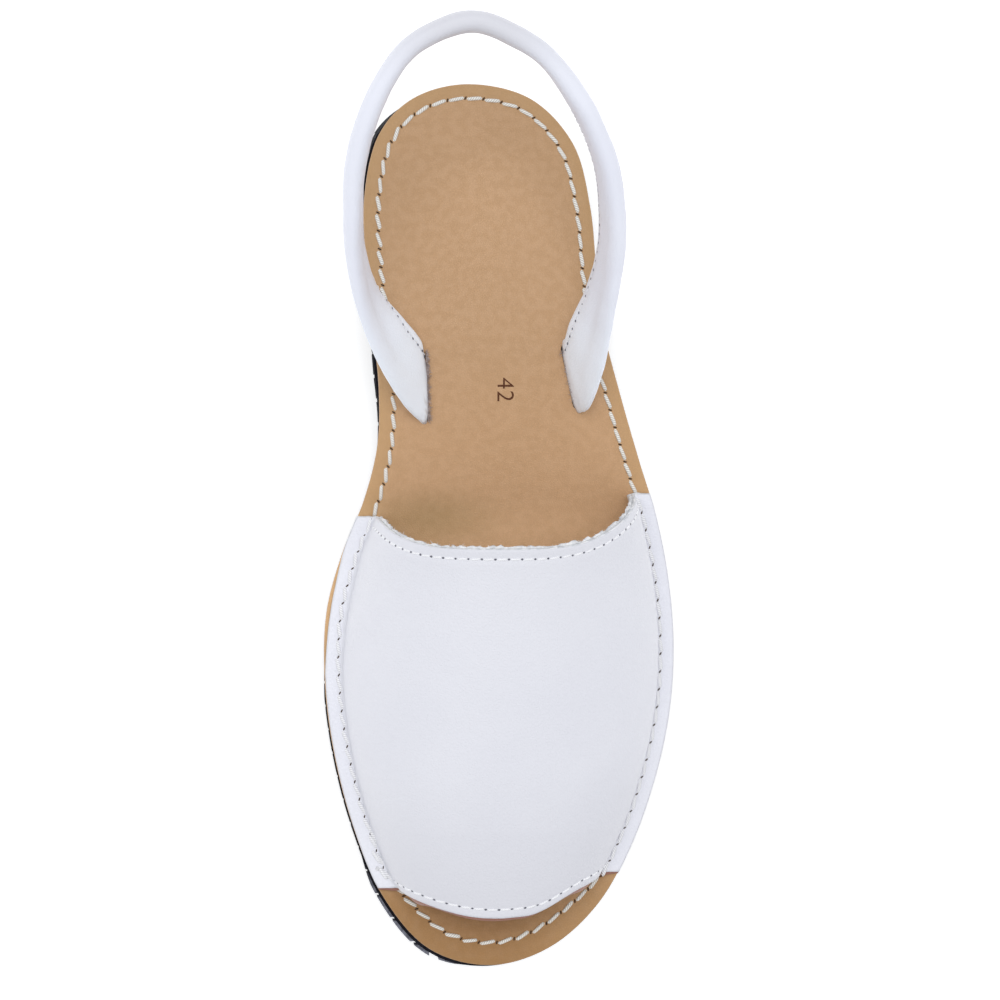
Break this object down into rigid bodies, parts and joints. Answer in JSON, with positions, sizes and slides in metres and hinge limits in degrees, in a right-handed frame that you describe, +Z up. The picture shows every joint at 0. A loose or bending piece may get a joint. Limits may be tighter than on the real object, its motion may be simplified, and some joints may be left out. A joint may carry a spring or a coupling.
{
  "type": "avarca sandal",
  "caption": "Open-toe leather sandal: a domed vamp stitched flat to a leather insole, a padded heel strap out of slits, and a lugged rubber sole with a low heel.",
  "frame": {"origin": "middle of the sandal's bounding box, on the floor it stands on", "axes": "+Z up, +Y towards the heel, +X towards the outer (little toe) side; the toe points along -Y"},
  "size_m": [0.1144, 0.294, 0.0938],
  "materials": {
    "outsole": "matt black rubber",
    "heel": "matt black rubber",
    "insole": "smooth tan leather",
    "upper": "white grained leather",
    "heel_strap": "soft white leather"
  },
  "bodies": {
    "root": {"outsole": "outsole", "heel": "heel", "insole": "insole", "upper": "upper", "heel_strap": "heel_strap"}
  },
  "joints": []
}
